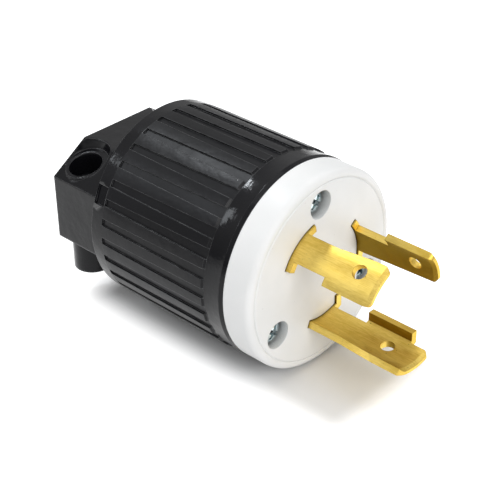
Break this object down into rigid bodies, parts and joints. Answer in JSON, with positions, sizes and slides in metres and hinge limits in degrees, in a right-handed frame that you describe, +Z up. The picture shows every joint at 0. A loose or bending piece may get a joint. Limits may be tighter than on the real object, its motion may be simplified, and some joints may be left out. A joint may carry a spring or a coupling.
{
  "type": "locking power plug",
  "caption": "Round locking power plug with three curved brass blades, a white front body, a ribbed black grip and a screwed cord clamp.",
  "frame": {"origin": "centre of the white front face, on the plug's axis", "axes": "+X along the axis towards the blades' tips, +Z up, with the ground blade underneath"},
  "size_m": [0.0952, 0.05, 0.0499],
  "materials": {
    "black_nylon": "semi-gloss moulded",
    "white_nylon": "satin moulded",
    "ivory_nylon": "satin moulded",
    "brass": "brushed sheet",
    "brass_screw": "turned",
    "nickel_screw": "nickel plated",
    "green_screw": "green passivated",
    "zinc": "blue zinc plated"
  },
  "bodies": {
    "root": {"rear_shell": "black_nylon", "front_body": "white_nylon", "terminal_carrier": "ivory_nylon", "line_blade": "brass", "neutral_blade": "brass", "ground_blade": "brass", "line_clamp_plate": "brass", "neutral_clamp_plate": "brass", "ground_clamp_plate": "brass", "line_terminal_screw": "brass_screw", "neutral_terminal_screw": "nickel_screw", "ground_terminal_screw": "green_screw", "assembly_screws": "zinc", "assembly_nuts": "zinc", "cord_clamp_jaw": "black_nylon", "clamp_screws": "zinc", "clamp_nuts": "zinc"}
  },
  "joints": []
}
